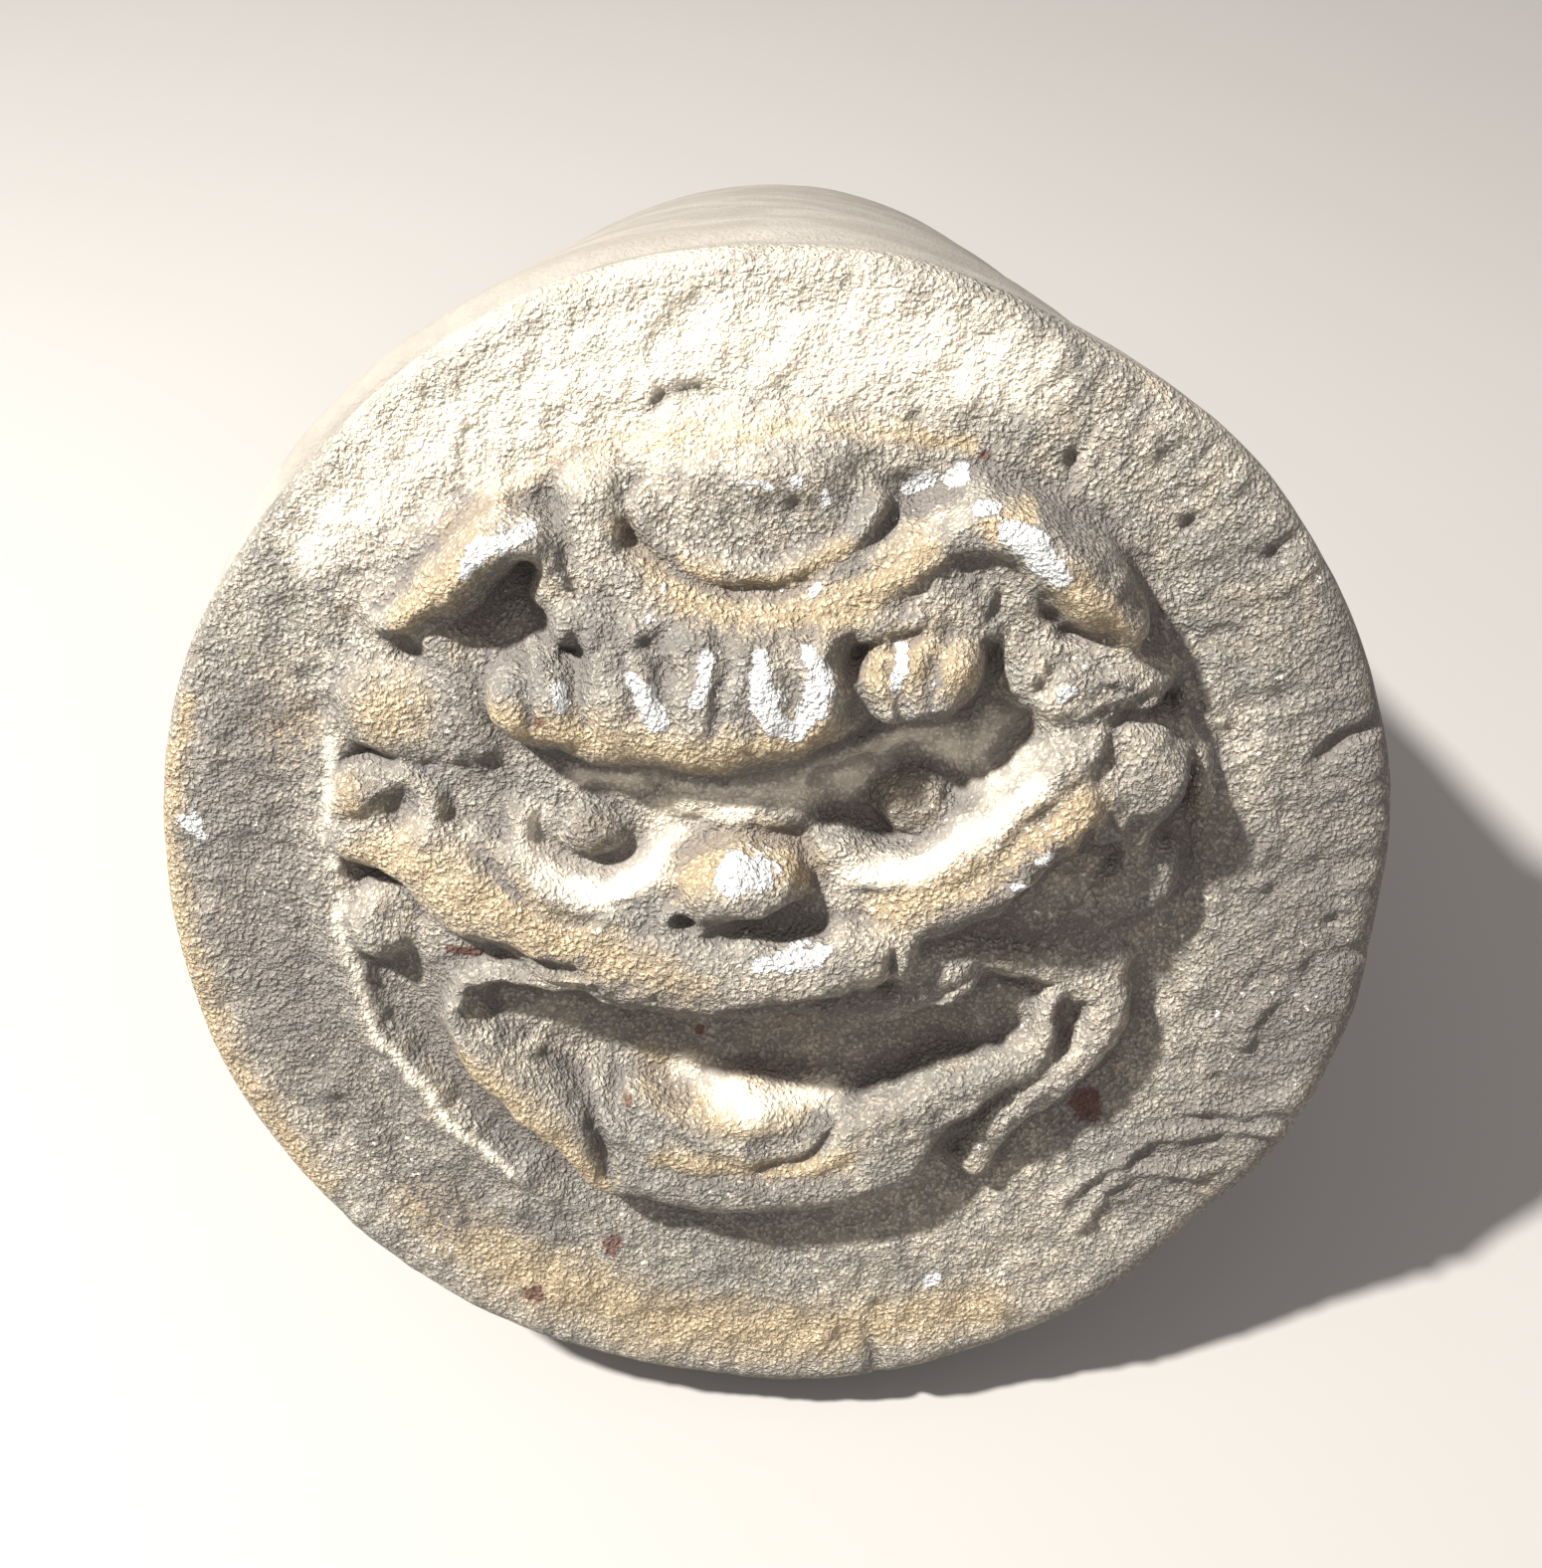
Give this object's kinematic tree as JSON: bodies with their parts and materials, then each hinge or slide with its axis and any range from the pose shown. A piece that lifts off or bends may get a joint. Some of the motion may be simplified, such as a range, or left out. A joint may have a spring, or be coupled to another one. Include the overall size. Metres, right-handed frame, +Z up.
{
  "type": "round eave-end roof tile with beast mask",
  "caption": "Round eave-end roof tile of fired grey clay: a thick disc with a moulded beast mask and a half-round barrel running back from its upper half, lying on a table.",
  "frame": {"origin": "on the table under the middle of the tile's box, as it rests on the foot of the disc and the two rear corners of the barrel", "axes": "+Z up from the table, -Y towards the mask's side, +Y towards the rear end of the barrel, +X to the mask's right as seen from the front; the face leans back 24 degrees from upright"},
  "size_m": [0.1316, 0.2066, 0.1262],
  "materials": {
    "fired_clay": "unglazed, gritty and weathered, with ochre stain, charcoal grey patches and flakes of white lime"
  },
  "bodies": {
    "root": {"eave_tile": "fired_clay"}
  },
  "joints": []
}
